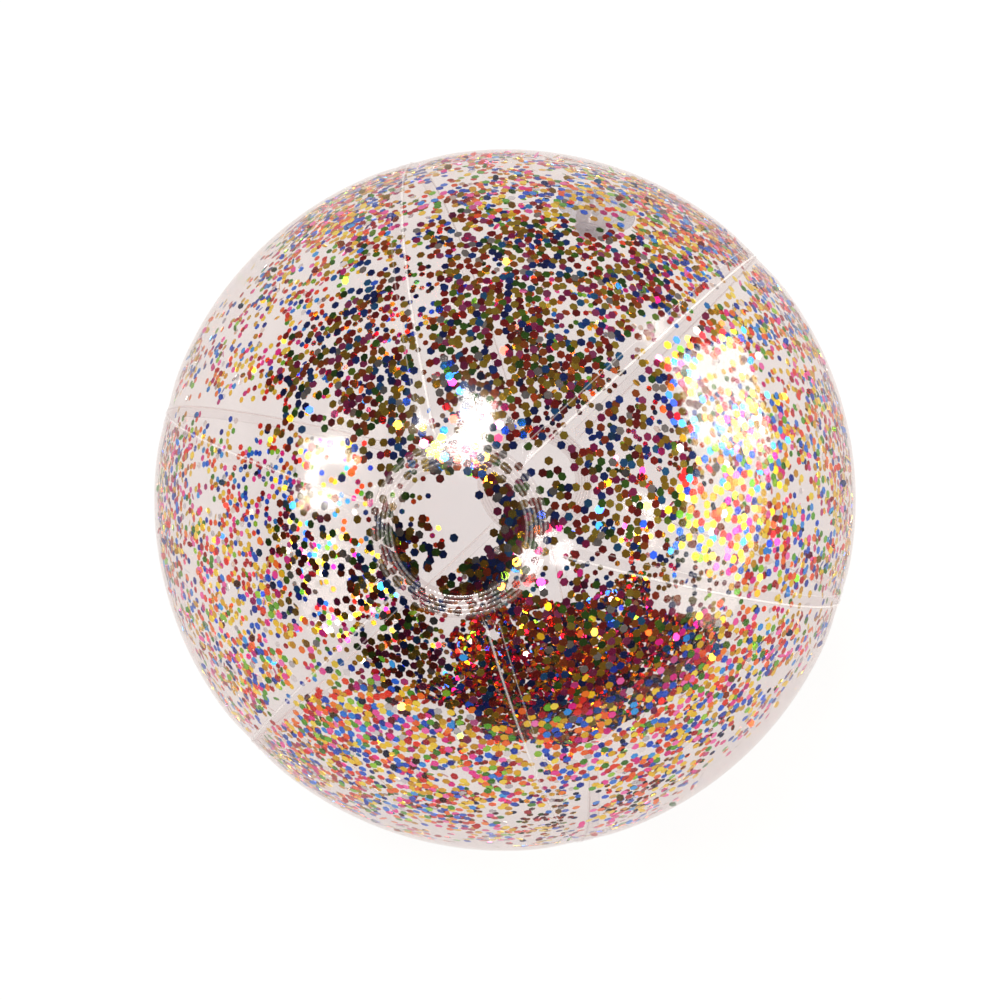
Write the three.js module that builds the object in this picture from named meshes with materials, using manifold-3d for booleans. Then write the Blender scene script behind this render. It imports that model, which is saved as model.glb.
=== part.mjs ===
// A clear inflatable beach ball with loose foil glitter inside.
// Six film panels are lapped and welded along their seams and closed by a round cap at each pole.
// The ball lies on the floor with its front pole turned up, and a folding valve sits in its back.
// Millimetres, Z up, with the origin on the floor under the ball's centre.

import * as THREE from "three";
import { LoftGeometry } from "three/addons/geometries/LoftGeometry.js";
import { mergeVertices, toCreasedNormals } from "three/addons/utils/BufferGeometryUtils.js";
import Module from "manifold-3d";

// Ball
const BALL_RADIUS = 135;
const FILM_THICKNESS = 0.3;
const CLEARANCE = 0.3;
const PANEL_COUNT = 6;
const SEAM_AZIMUTH = 59.4;
const POLE_ELEVATION = 68;
const VALVE_PANEL = 0;
const REST_PANEL = 3;
const REST_RADIUS = 14;
const REST_THICKNESS = 0.9;

// Seams
const SEAM_GAP = 0.3;
const LAP_WIDTH = 5;
const LAP_STEP = 1;
const LAP_RUN_OUT = 1.4;
const EDGE_BREAK = 0.03;

// End caps
const CAP_RADIUS = 28;
const CAP_OPENING_RADIUS = 19.5;
const CAP_WELD_WIDTH = 7;
const CAP_HEM = 0.6;
const CAP_RIDGE_COUNT = 4;
const CAP_RIDGE_HEIGHT = 0.35;

// Valve
const VALVE_HOLE_RADIUS = 10;
const FLANGE_RADIUS = 17;
const FLANGE_OPENING_RADIUS = 8.6;
const FLANGE_THICKNESS = 0.8;
const STEM_RADIUS = 5;
const BORE_RADIUS = 3.4;
const STEM_DEPTH = 13;
const STEM_STANDOFF = 2;
const STEM_RIM_RADIUS = 5.8;
const STEM_RIM_HEIGHT = 1.2;
const STEM_FOOT_RADIUS = 6.4;
const STEM_FOOT_HEIGHT = 0.8;
const BORE_CHAMFER = 0.3;
const BOOT_WALL = 0.6;
const BOOT_LIP_HEIGHT = 1.1;
const BOOT_LIP_DEPTH = 1;
const STRAP_REACH = 11;
const STRAP_WIDTH = 4;
const STRAP_THICKNESS = 1;
const PLUG_LENGTH = 4.6;
const PLUG_TAPER = 0.8;
const PLUG_HEAD_HEIGHT = 1.6;
const PLUG_HEAD_BEVEL = 0.5;
const PLUG_TAB_LENGTH = 3;
const PLUG_TAB_WIDTH = 5;
const FLAP_THICKNESS = 0.6;
const FLAP_OVERLAP = 1;
const FLAP_TAB_WIDTH = 3;
const FLAP_TAB_LENGTH = 0.8;

// Glitter
const FLAKE_WIDTH = 3;
const FLAKE_THICKNESS = 0.2;
const FLAKES_PER_COLOUR = 7;
const FLAKE_ROWS = 10;
const HEAP_RADIUS = 46;
const HEAP_DEPTH = 2;
const HEAP_EDGE_DEPTH = 1;
const HEAP_TILT = 24;
const HEAP_AZIMUTH = -32;
const HEAP_FLAKE_COUNT = 70;
const HEAP_FLAKE_TILT = 15;
const HEAP_FLAKE_SPREAD = 0.8;

// Facet counts
const PANEL_FACETS_ACROSS = 6;
const PANEL_FACETS_ALONG = 19;
const CAP_FACETS = 32;
const VALVE_FACETS = 24;
const HEAP_FACETS = 24;
const HEAP_RINGS = 5;
const CAP_UNDER_RINGS = 4;
const LAP_ROOT_STEPS = 3;
const TONGUE_FACETS = 6;
const FLAKE_FACETS = 6;

const wasm = await Module();
wasm.setup();

const DEGREE = Math.PI / 180;
const GOLDEN_ANGLE = Math.PI * (3 - Math.sqrt(5));
const MERGE_TOLERANCE = 1e-4;
const CREASE_ANGLE = 30 * DEGREE;
const { lerp } = THREE.MathUtils;
const { cos, sin, asin, sqrt, PI } = Math;

// Values that follow from the driving dimensions
const innerRadius = BALL_RADIUS - FILM_THICKNESS;
const seatRadius = innerRadius - CLEARANCE;
const lapUnder = BALL_RADIUS + CLEARANCE;
const lapTop = lapUnder + FILM_THICKNESS;
const panelAngle = (2 * PI) / PANEL_COUNT;
const centreHeight = sqrt(BALL_RADIUS ** 2 - REST_RADIUS ** 2);

const metal = (color) => new THREE.MeshStandardMaterial({ color, roughness: 0.3, metalness: 0.9 });
const vinyl = (color, opacity) =>
  new THREE.MeshStandardMaterial({ color, roughness: 0.08, metalness: 0, transparent: true, opacity });

// Turns a closed geometry into a solid that can be joined and cut.
function solid(geometry, matrix = new THREE.Matrix4()) {
  const bare = new THREE.BufferGeometry();
  bare.setAttribute("position", geometry.attributes.position.clone());
  bare.setIndex(geometry.index);
  const merged = mergeVertices(bare.applyMatrix4(matrix), MERGE_TOLERANCE);
  const triVerts = [];
  for (let i = 0; i < merged.index.count; i += 3) {
    const [a, b, c] = merged.index.array.slice(i, i + 3);
    if (a !== b && b !== c && c !== a) triVerts.push(a, b, c);
  }
  const vertProperties = new Float32Array(merged.attributes.position.array);
  return new wasm.Manifold(
    new wasm.Mesh({ numProp: 3, vertProperties, triVerts: new Uint32Array(triVerts) }),
  );
}

function geometryOf(body) {
  const { vertProperties, triVerts } = body.getMesh();
  const geometry = new THREE.BufferGeometry();
  geometry.setAttribute("position", new THREE.BufferAttribute(vertProperties, 3));
  geometry.setIndex(new THREE.BufferAttribute(triVerts, 1));
  return toCreasedNormals(geometry, CREASE_ANGLE);
}

function addMesh(parent, name, geometry, material) {
  const mesh = new THREE.Mesh(geometry, material);
  mesh.name = name;
  parent.add(mesh);
  return mesh;
}

// Revolves a profile of [radius, height] points about Z.
function revolve(points, facets, startAngle = 0) {
  const profile = points.map(([radius, height]) => new THREE.Vector2(radius, height));
  return new THREE.LatheGeometry(profile, facets, startAngle + PI / 2).rotateX(PI / 2);
}

// Revolves a profile that goes round a hole, so it closes on its first point.
const revolveRing = (points, facets) => revolve([...points, points[0]], facets);

const disc = (radius, bottom, top, facets) =>
  revolve([[0, bottom], [radius, bottom], [radius, top], [0, top]], facets);

// Extrudes a flat outline from one height to another.
function plate(shape, bottom, top) {
  const settings = { depth: top - bottom, bevelEnabled: false, curveSegments: TONGUE_FACETS };
  return new THREE.ExtrudeGeometry(shape, settings).translate(0, 0, bottom);
}

// Point on a sphere about the ball's centre, by its angle from the front pole and its azimuth.
function spherePoint(radius, polar, azimuth) {
  const ring = radius * sin(polar);
  return new THREE.Vector3(ring * cos(azimuth), ring * sin(azimuth), radius * cos(polar));
}

// Groups: the ball turned to lie with its front pole up, and the valve looking straight back.
const beachBall = new THREE.Group();
const ball = new THREE.Group();
ball.position.z = centreHeight;
ball.rotation.x = (90 - POLE_ELEVATION) * DEGREE;
const valve = new THREE.Group();
valve.position.set(0, BALL_RADIUS, centreHeight);
valve.rotation.x = -PI / 2;
beachBall.add(ball, valve);
beachBall.updateMatrixWorld(true);
const floorToBall = ball.matrixWorld.clone().invert();
const valveToBall = floorToBall.clone().multiply(valve.matrixWorld);

// Cross-sections of a panel, from the rear pole to the front one. The lap starts clear of the end caps.
const tipPolar = asin(CAP_OPENING_RADIUS / BALL_RADIUS);
const lapStartPolar = asin((CAP_RADIUS + CLEARANCE) / BALL_RADIUS);
const lapFullPolar = asin((CAP_RADIUS + CLEARANCE + LAP_RUN_OUT) / BALL_RADIUS);

function sectionList() {
  const sections = [
    { polar: PI - tipPolar, lapped: false },
    { polar: PI - lapStartPolar, lapped: false },
  ];
  for (let i = 0; i <= PANEL_FACETS_ALONG; i++) {
    const polar = lerp(PI - lapFullPolar, lapFullPolar, i / PANEL_FACETS_ALONG);
    sections.push({ polar, lapped: true });
  }
  sections.push({ polar: lapStartPolar, lapped: false }, { polar: tipPolar, lapped: false });
  return sections;
}

const sections = sectionList();

// Azimuths across one panel at one section: its plain edge, the foot of its lap and its lapped edge.
function panelEdges(panel, polar) {
  const ring = BALL_RADIUS * sin(polar);
  const start = SEAM_AZIMUTH * DEGREE + panel * panelAngle;
  const plain = start + SEAM_GAP / 2 / ring;
  const lapped = start + panelAngle - SEAM_GAP / 2 / ring;
  return { plain, foot: lapped - LAP_STEP / ring, lapped, reach: lapped + (SEAM_GAP + LAP_WIDTH) / ring };
}

// Outline of a panel's film at one section, with the lap that steps up over the next panel,
// or with the same number of points along its root where it has no lap.
function panelOutline(panel, { polar, lapped }) {
  const edges = panelEdges(panel, polar);
  const across = [];
  for (let i = 0; i <= PANEL_FACETS_ACROSS; i++) {
    across.push(lerp(edges.plain, edges.foot, i / PANEL_FACETS_ACROSS));
  }
  const lap = [
    [lapTop, edges.foot],
    [lapTop, edges.reach],
    [lapUnder, edges.reach],
    [lapUnder, edges.lapped],
  ];
  const root = [];
  for (let i = 1; i <= LAP_ROOT_STEPS; i++) {
    root.push([BALL_RADIUS, lerp(edges.foot, edges.lapped, i / LAP_ROOT_STEPS)]);
  }
  root.push([BALL_RADIUS - EDGE_BREAK, edges.lapped]);
  return [
    ...across.map((azimuth) => spherePoint(BALL_RADIUS, polar, azimuth)),
    ...(lapped ? lap : root).map(([radius, azimuth]) => spherePoint(radius, polar, azimuth)),
    spherePoint(innerRadius, polar, edges.lapped),
    ...across.reverse().map((azimuth) => spherePoint(innerRadius, polar, azimuth)),
  ];
}

function panelFilm(panel) {
  const outlines = sections.map((section) => panelOutline(panel, section));
  return new LoftGeometry(outlines, { capStart: true, capEnd: true });
}

// A solid ball with the same facets as the panels, for pieces that lie against the film.
function facetedBall(radius) {
  const profile = [[0, -radius]];
  for (const { polar } of sections) {
    profile.push([radius * sin(polar), radius * cos(polar)]);
  }
  profile.push([0, radius]);
  return solid(revolve(profile, PANEL_COUNT * PANEL_FACETS_ACROSS, SEAM_AZIMUTH * DEGREE));
}

// The film panels. One has the valve's hole and one the flat that the ball lies on.
function withValveHole(film) {
  const hole = disc(VALVE_HOLE_RADIUS, -BALL_RADIUS / 2, BALL_RADIUS / 2, VALVE_FACETS);
  return film.subtract(solid(hole, valveToBall));
}

function withRestFlat(film) {
  const below = new THREE.BoxGeometry(BALL_RADIUS, BALL_RADIUS, BALL_RADIUS);
  const flat = disc(REST_RADIUS, 0, REST_THICKNESS, VALVE_FACETS);
  const trimmed = film.subtract(solid(below.translate(0, 0, -BALL_RADIUS / 2), floorToBall));
  return trimmed.add(solid(flat, floorToBall));
}

for (let panel = 0; panel < PANEL_COUNT; panel++) {
  let film = solid(panelFilm(panel));
  if (panel === VALVE_PANEL) film = withValveHole(film);
  if (panel === REST_PANEL) film = withRestFlat(film);
  addMesh(ball, `panel_${panel + 1}`, geometryOf(film), vinyl(0xe9e2e4, 0.3));
}

// End cap: a domed patch over the panel tips, with concentric weld ridges round its rim.
function capProfile() {
  const domeHeight = (radius, ring) => sqrt(radius ** 2 - ring ** 2);
  const weldStart = CAP_RADIUS - CAP_HEM - CAP_WELD_WIDTH;
  const pitch = CAP_WELD_WIDTH / CAP_RIDGE_COUNT;
  const top = [0, weldStart / 2, weldStart].map((ring) => [ring, domeHeight(lapTop, ring)]);
  for (let ridge = 0; ridge < CAP_RIDGE_COUNT; ridge++) {
    const crest = weldStart + (ridge + 0.5) * pitch;
    const valley = weldStart + (ridge + 1) * pitch;
    top.push([crest, domeHeight(lapTop + CAP_RIDGE_HEIGHT, crest)], [valley, domeHeight(lapTop, valley)]);
  }
  top.push([CAP_RADIUS, domeHeight(lapTop, CAP_RADIUS)]);
  const under = [];
  for (let i = 0; i <= CAP_UNDER_RINGS; i++) {
    const ring = (CAP_RADIUS * i) / CAP_UNDER_RINGS;
    under.push([ring, domeHeight(lapUnder, ring)]);
  }
  return [...under, ...top.reverse()];
}

const frontCap = addMesh(ball, "end_cap_front", revolve(capProfile(), CAP_FACETS), vinyl(0xeee9ea, 0.35));
const rearCap = addMesh(ball, "end_cap_rear", frontCap.geometry.clone(), vinyl(0xeee9ea, 0.35));
rearCap.rotation.x = PI;

// Valve flange, welded to the inside of the film round the valve's hole.
function flange() {
  const band = facetedBall(seatRadius).subtract(facetedBall(seatRadius - FLANGE_THICKNESS));
  const outside = disc(FLANGE_RADIUS, -BALL_RADIUS / 2, BALL_RADIUS / 2, VALVE_FACETS);
  const opening = disc(FLANGE_OPENING_RADIUS, -BALL_RADIUS, BALL_RADIUS, VALVE_FACETS);
  const ring = solid(outside, valveToBall).subtract(solid(opening, valveToBall));
  return geometryOf(band.intersect(ring));
}

addMesh(ball, "valve_flange", flange(), vinyl(0xf0eef0, 0.5));

// Heights in the valve, from the ball's surface outwards.
const stemBottom = -STEM_DEPTH;
const stemTop = STEM_STANDOFF;
const footTop = stemBottom + STEM_FOOT_HEIGHT;
const headBottom = stemTop + CLEARANCE;
const headTop = headBottom + PLUG_HEAD_HEIGHT;
const strapMiddle = headBottom + STRAP_THICKNESS / 2;
const flapTop = stemBottom - CLEARANCE;

// Neck that folds inside out when the stem is pulled, shown folded in.
function boot() {
  const lipRadius = FLANGE_OPENING_RADIUS - CLEARANCE;
  const footRadius = STEM_RADIUS + CLEARANCE;
  const footBottom = footTop + CLEARANCE;
  const lipBottom = -BOOT_LIP_DEPTH - BOOT_LIP_HEIGHT;
  return revolveRing(
    [
      [footRadius, footBottom],
      [footRadius + 2 * BOOT_WALL, footBottom],
      [lipRadius, lipBottom],
      [lipRadius, -BOOT_LIP_DEPTH],
      [lipRadius - BOOT_WALL, -BOOT_LIP_DEPTH],
      [lipRadius - BOOT_WALL, lipBottom],
      [footRadius + BOOT_WALL, footBottom + BOOT_WALL],
      [footRadius, footBottom + BOOT_WALL],
    ],
    VALVE_FACETS,
  );
}

addMesh(valve, "valve_boot", boot(), vinyl(0xf0eef0, 0.5));

// Outline of a tongue along Y with one rounded end.
function tongue(width, start, end) {
  const half = width / 2;
  const shape = new THREE.Shape();
  shape.moveTo(half, start);
  shape.lineTo(half, end - half);
  shape.absarc(0, end - half, half, 0, PI);
  shape.lineTo(-half, start);
  return shape;
}

// Stem with a rim, a foot for the neck and the arm that carries the plug's strap.
function stem() {
  const tube = revolveRing(
    [
      [BORE_RADIUS, stemBottom],
      [STEM_FOOT_RADIUS, stemBottom],
      [STEM_FOOT_RADIUS, footTop],
      [STEM_RADIUS, footTop],
      [STEM_RADIUS, stemTop - STEM_RIM_HEIGHT],
      [STEM_RIM_RADIUS, stemTop - STEM_RIM_HEIGHT],
      [STEM_RIM_RADIUS, stemTop],
      [BORE_RADIUS + BORE_CHAMFER, stemTop],
      [BORE_RADIUS, stemTop - BORE_CHAMFER],
    ],
    VALVE_FACETS,
  );
  const armStart = lerp(BORE_RADIUS, STEM_RADIUS, 1 / 2);
  const armShape = tongue(STRAP_WIDTH, armStart, STRAP_REACH + STRAP_THICKNESS / 2);
  const arm = plate(armShape, stemTop - STRAP_THICKNESS, stemTop);
  return geometryOf(solid(tube).add(solid(arm)));
}

addMesh(valve, "valve_stem", stem(), vinyl(0xf4f3f4, 0.55));

// Tapered plug with a thumb tab on its head.
function plug() {
  const top = BORE_RADIUS - CLEARANCE;
  const body = revolve(
    [
      [0, headBottom - PLUG_LENGTH],
      [top - PLUG_TAPER, headBottom - PLUG_LENGTH],
      [top, headBottom],
      [STEM_RIM_RADIUS, headBottom],
      [STEM_RIM_RADIUS, headTop - PLUG_HEAD_BEVEL],
      [STEM_RIM_RADIUS - PLUG_HEAD_BEVEL, headTop],
      [0, headTop],
    ],
    VALVE_FACETS,
  );
  const tabShape = tongue(PLUG_TAB_WIDTH, 0, STEM_RIM_RADIUS + PLUG_TAB_LENGTH);
  const tab = plate(tabShape, headBottom, headBottom + STRAP_THICKNESS).rotateZ(PI);
  return geometryOf(solid(body).add(solid(tab)));
}

addMesh(valve, "valve_plug", plug(), vinyl(0xf4f3f4, 0.6));

// Strap from the plug's head to its fold at the end of the stem's arm, drawn on its side and turned.
function strap() {
  const half = STRAP_THICKNESS / 2;
  const side = new THREE.Shape();
  const start = STEM_RIM_RADIUS + CLEARANCE;
  side.moveTo(start, -half);
  side.lineTo(STRAP_REACH, -half);
  side.absarc(STRAP_REACH, 0, half, -PI / 2, PI / 2);
  side.lineTo(start, half);
  const band = plate(side, -STRAP_WIDTH / 2, STRAP_WIDTH / 2);
  return band.rotateX(PI / 2).rotateZ(PI / 2).translate(0, 0, strapMiddle);
}

addMesh(valve, "plug_strap", strap(), vinyl(0xf4f3f4, 0.6));

// Non-return flap under the stem's bore, hung from its upper edge.
function flap() {
  const radius = BORE_RADIUS + FLAP_OVERLAP;
  const round = disc(radius, flapTop - FLAP_THICKNESS, flapTop, VALVE_FACETS);
  const tab = new THREE.BoxGeometry(FLAP_TAB_WIDTH, radius + FLAP_TAB_LENGTH, FLAP_THICKNESS);
  tab.translate(0, -(radius + FLAP_TAB_LENGTH) / 2, flapTop - FLAP_THICKNESS / 2);
  return geometryOf(solid(round).add(solid(tab)));
}

addMesh(valve, "check_flap", flap(), vinyl(0xf4f3f4, 0.6));

// A hexagonal foil flake lying in the XY plane.
const flakeRadius = FLAKE_WIDTH / sqrt(3);
const flakeGeometry = () => disc(flakeRadius, -FLAKE_THICKNESS / 2, FLAKE_THICKNESS / 2, FLAKE_FACETS);
const UP = new THREE.Vector3(0, 0, 1);

// Middle of one facet on the inside of a panel.
function facetMiddle(panel, row, column) {
  const middle = new THREE.Vector3();
  for (const { polar } of [sections[row], sections[row + 1]]) {
    const { plain, foot } = panelEdges(panel, polar);
    for (const step of [column, column + 1]) {
      middle.add(spherePoint(innerRadius, polar, lerp(plain, foot, step / PANEL_FACETS_ACROSS)));
    }
  }
  return middle.multiplyScalar(1 / 4);
}

// Single flakes that cling to the film, in mixed colours over the front of the ball.
const flakeColours = {
  gold: 0xd8a21a,
  blue: 0x2458c8,
  pink: 0xe0359a,
  green: 0x2f9a48,
  red: 0xc8321f,
  silver: 0xdfe2e6,
};

const frontRow = sections.length - 4;

Object.entries(flakeColours).forEach(([colour, tint], first) => {
  for (let i = 0; i < FLAKES_PER_COLOUR; i++) {
    const panel = (first + i) % PANEL_COUNT;
    const row = frontRow - ((3 * i + 2 * panel) % FLAKE_ROWS);
    const column = (i + 2 * first) % PANEL_FACETS_ACROSS;
    const middle = facetMiddle(panel, row, column);
    const flake = addMesh(ball, `flake_${colour}_${i + 1}`, flakeGeometry(), metal(tint));
    flake.quaternion.setFromUnitVectors(UP, middle.clone().normalize());
    flake.rotateZ(i * GOLDEN_ANGLE);
    flake.position.copy(middle.setLength(middle.length() - CLEARANCE - FLAKE_THICKNESS / 2));
  }
});

// Drift of settled flakes: a shallow lens against the film, with flakes lying in its upper face.
function heap() {
  const base = new THREE.Object3D();
  base.position.z = centreHeight;
  base.rotation.set(0, -HEAP_TILT * DEGREE, HEAP_AZIMUTH * DEGREE, "ZYX");
  base.updateMatrixWorld(true);
  const heapToBall = floorToBall.clone().multiply(base.matrixWorld);
  const edge = HEAP_EDGE_DEPTH - sqrt(seatRadius ** 2 - HEAP_RADIUS ** 2);
  const middle = HEAP_DEPTH - seatRadius;
  const faceHeight = (ring) => lerp(middle, edge, (ring / HEAP_RADIUS) ** 2);
  const profile = [[0, -BALL_RADIUS], [HEAP_RADIUS, -BALL_RADIUS]];
  for (let i = HEAP_RINGS; i >= 0; i--) {
    const ring = (HEAP_RADIUS * i) / HEAP_RINGS;
    profile.push([ring, faceHeight(ring)]);
  }
  let drift = facetedBall(seatRadius).intersect(solid(revolve(profile, HEAP_FACETS), heapToBall));
  const place = new THREE.Object3D();
  for (let i = 0; i < HEAP_FLAKE_COUNT; i++) {
    const ring = HEAP_RADIUS * HEAP_FLAKE_SPREAD * sqrt((i + 0.5) / HEAP_FLAKE_COUNT);
    const turn = i * GOLDEN_ANGLE;
    place.position.set(ring * cos(turn), ring * sin(turn), faceHeight(ring));
    const lean = HEAP_FLAKE_TILT * DEGREE;
    place.rotation.set(lean * sin(2 * turn), lean * cos(2 * turn), turn);
    place.updateMatrix();
    drift = drift.add(solid(flakeGeometry(), heapToBall.clone().multiply(place.matrix)));
  }
  const flat = disc(REST_RADIUS + CLEARANCE, -REST_THICKNESS, REST_THICKNESS + CLEARANCE, VALVE_FACETS);
  return geometryOf(drift.subtract(solid(flat, floorToBall)));
}

addMesh(ball, "glitter_heap", heap(), metal(0x6a4038));

export default beachBall;
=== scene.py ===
"""Clear inflatable beach ball with loose foil glitter, dressed over its frame."""

import math
import random

import bmesh
import bpy
from bmesh.types import BMEdge, BMFace, BMVert
from mathutils import Euler, Matrix, Vector, noise


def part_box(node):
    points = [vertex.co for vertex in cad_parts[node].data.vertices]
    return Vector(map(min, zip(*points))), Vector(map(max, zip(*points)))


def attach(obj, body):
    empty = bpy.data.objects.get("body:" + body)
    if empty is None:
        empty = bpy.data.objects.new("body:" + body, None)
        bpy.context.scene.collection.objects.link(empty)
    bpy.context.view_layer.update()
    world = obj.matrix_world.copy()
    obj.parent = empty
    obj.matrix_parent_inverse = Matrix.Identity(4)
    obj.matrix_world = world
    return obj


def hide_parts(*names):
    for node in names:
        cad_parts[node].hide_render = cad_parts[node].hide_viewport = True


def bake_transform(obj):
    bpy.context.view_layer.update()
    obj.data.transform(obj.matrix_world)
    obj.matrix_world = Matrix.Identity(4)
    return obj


bl_info = {
    "name": "Glitter beach ball",
    "version": (1, 0, 0),
    "blender": (4, 5, 0),
    "location": "View3D > Sidebar > Beach ball",
    "description": "Builds a clear beach ball with welded panels, a folding valve and loose foil glitter",
    "category": "Object",
}

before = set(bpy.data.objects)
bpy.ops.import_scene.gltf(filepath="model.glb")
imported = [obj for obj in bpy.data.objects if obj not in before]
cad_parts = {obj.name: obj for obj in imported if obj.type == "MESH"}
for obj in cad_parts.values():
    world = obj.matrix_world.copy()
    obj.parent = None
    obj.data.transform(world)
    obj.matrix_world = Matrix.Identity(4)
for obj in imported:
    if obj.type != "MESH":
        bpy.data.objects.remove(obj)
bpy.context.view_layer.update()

MM = 0.001

# Clearance between pieces that touch on the real ball
GAP = 0.3 * MM

FLANGE_LOW, FLANGE_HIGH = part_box("valve_flange")
CENTRE_HEIGHT = (FLANGE_LOW.z + FLANGE_HIGH.z) / 2
PANEL_NODES = [f"panel_{number}" for number in range(1, 7)]

# Share of each foil colour, and how its shade runs from flake to flake
FOILS = {
    "gold": (0.27, ((0.0, (0.60, 0.30, 0.01)), (0.5, (0.95, 0.62, 0.02)), (1.0, (1.0, 0.82, 0.10)))),
    "blue": (0.20, ((0.0, (0.01, 0.02, 0.30)), (0.6, (0.02, 0.12, 0.75)), (1.0, (0.05, 0.42, 0.95)))),
    "pink": (0.12, ((0.0, (0.50, 0.01, 0.20)), (0.4, (0.90, 0.02, 0.30)), (1.0, (1.0, 0.22, 0.58)))),
    "green": (0.10, ((0.0, (0.04, 0.17, 0.01)), (0.6, (0.14, 0.46, 0.03)), (1.0, (0.40, 0.75, 0.05)))),
    "red": (0.25, ((0.0, (0.38, 0.005, 0.02)), (0.5, (0.88, 0.04, 0.02)), (1.0, (1.0, 0.28, 0.03)))),
    "silver": (0.06, ((0.0, (0.50, 0.50, 0.52)), (0.6, (0.88, 0.86, 0.86)), (1.0, (0.95, 0.78, 0.66)))),
}

# Where flakes gather on the film, or keep off it: angle from the front pole, azimuth, spread and weight
CLUSTERS = (
    (39, 94, 11, 1.0),
    (46, 74, 8, 0.6),
    (28, 115, 8, 0.6),
    (31, 141, 8, 0.35),
    (27, 180, 8, 0.2),
    (20, 215, 8, 0.15),
    (11, 189, 3, 0.6),
    (25, 82, 9, 0.7),
    (24, 45, 8, 0.7),
    (20, 15, 6, 0.6),
    (37, 33, 9, 1.0),
    (44, 26, 8, 0.7),
    (33, 258, 10, 1.0),
    (38, 269, 8, 1.0),
    (50, 251, 9, 0.7),
    (35, 290, 7, 0.7),
    (32, 314, 9, 0.9),
    (41, 335, 10, 0.8),
    (45, 355, 8, 0.6),
    (59, 342, 11, 0.5),
    (52, 60, 8, 0.5),
    (58, 92, 9, 0.2),
    (56, 120, 8, 0.4),
    (78, 64, 11, 1.3),
    (80, 130, 9, 0.8),
    (88, 60, 10, 1.0),
    (82, 118, 9, 0.8),
    (66, 71, 7, 1.0),
    (100, 76, 10, 1.3),
    (94, 138, 9, 1.2),
    (54, 127, 7, 0.5),
    (46, 262, 17, 0.6),
    (19, 92, 8, 1.3),
    (20, 128, 7, 1.2),
    (17, 243, 6, 0.8),
    (16, 112, 5, 0.5),
    (20, 334, 6, 0.4),
    (33, 352, 6, 0.5),
    (33, 45, 8, 0.6),
    (140, 242, 9, 0.9),
    (155, 112, 12, 1.0),
    (62, 155, 19, -0.45),
    (63, 105, 10, -0.25),
    (80, 94, 9, -0.2),
    (62, 45, 9, -0.15),
    (66, 340, 12, -0.2),
    (74, 223, 20, -0.22),
    (80, 276, 17, -0.42),
    (84, 333, 22, -0.42),
    (84, 152, 10, -0.15),
    (36, 184, 9, -0.4),
    (2, 180, 6, -1.2),
    (175, 200, 14, -0.5),
    (15, 280, 4, -0.35),
)

# Small piles under the front cap's weld: angle from the front pole, azimuth, spread and number of flakes
PILES = (
    (7.5, 31, 1.0, 34),
    (7, 8, 1.2, 42),
    (7.5, 338, 1.3, 64),
    (8, 312, 1.2, 40),
    (5.5, 305, 0.8, 22),
    (9, 205, 1.0, 30),
    (9, 231, 1.1, 34),
    (9, 122, 1.1, 25),
    (8.5, 88, 1.2, 20),
    (8.5, 62, 1.2, 25),
    (8.7, 282, 1.2, 22),
    (11, 22, 1.4, 20),
    (3, 215, 2.4, 18),
)


def length(name, description, default):
    """A length that a user can change."""
    return bpy.props.FloatProperty(
        name=name, description=description, default=default, unit="LENGTH", precision=5
    )


def angle(name, description, degrees):
    """An angle that a user can change."""
    return bpy.props.FloatProperty(
        name=name, description=description, default=math.radians(degrees), subtype="ANGLE"
    )


class BallSizes(bpy.types.PropertyGroup):
    """Sizes of the inflated film."""

    radius: length("Radius", "Outside radius of the film", 0.135)
    film: length("Film", "Thickness of the film", 0.0003)
    pole_elevation: angle("Pole elevation", "How far the front pole is turned up", 68)
    seam_azimuth: angle("Seam azimuth", "Where the first seam runs round the poles", 59.4)
    groove: length("Groove", "How far the film is drawn in at a seam", 0.0007)
    pucker: length("Pucker", "Height of the puckers along a seam", 0.00012)
    cap_radius: length("Cap radius", "Radius of an end cap", 0.028)
    cap_opening: length("Cap opening", "Radius of the hole under an end cap", 0.0195)
    cap_ridge: length("Cap ridge", "Height of an end cap's weld ridges", 0.00035)


class ValveSizes(bpy.types.PropertyGroup):
    """Sizes of the inflation valve."""

    hole: length("Hole", "Radius of the hole in the film", 0.010)
    stem: length("Stem", "Radius of the stem", 0.005)
    bore: length("Bore", "Radius of the stem's bore", 0.0034)
    depth: length("Depth", "How far the stem reaches into the ball", 0.013)
    standoff: length("Standoff", "How far the stem stands out of the film", 0.002)
    reach: length("Strap reach", "From the bore's axis to the strap's fold", 0.011)


class GlitterSizes(bpy.types.PropertyGroup):
    """Sizes and numbers of the foil flakes."""

    width: length("Flake width", "Across the flats of a flake", 0.00255)
    thickness: length("Flake thickness", "Thickness of a flake", 0.00008)
    spacing: length("Spacing", "Least distance between clinging flakes", 0.0019)
    count: bpy.props.IntProperty(name="Flakes", description="Flakes that cling to the film", default=12900)
    drift_count: bpy.props.IntProperty(name="Drift", description="Flakes in the settled drift", default=4000)
    drift_polar: angle("Drift angle", "Angle of the drift's middle from the front pole", 138.4)
    drift_azimuth: angle("Drift azimuth", "Azimuth of the drift's middle", 298.5)
    drift_length: length("Drift length", "Half length of the drift", 0.062)
    drift_width: length("Drift width", "Half width of the drift", 0.040)
    seed: bpy.props.IntProperty(name="Seed", description="Start of the scatter", default=7)


class StageSettings(bpy.types.PropertyGroup):
    """Camera, floor and light."""

    azimuth: angle("Azimuth", "Camera's turn round the ball", 16.6)
    elevation: angle("Elevation", "Camera's height angle", 72.7)
    distance: length("Distance", "Camera to the ball's middle", 0.6075)
    lens: bpy.props.FloatProperty(name="Lens", description="Focal length in millimetres", default=55.44)
    floor_size: length("Floor size", "Half width of the floor", 12.0)
    floor: bpy.props.FloatVectorProperty(
        name="Floor", description="Colour of the floor", default=(0.96, 0.96, 0.96), size=3, subtype="COLOR"
    )


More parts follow.
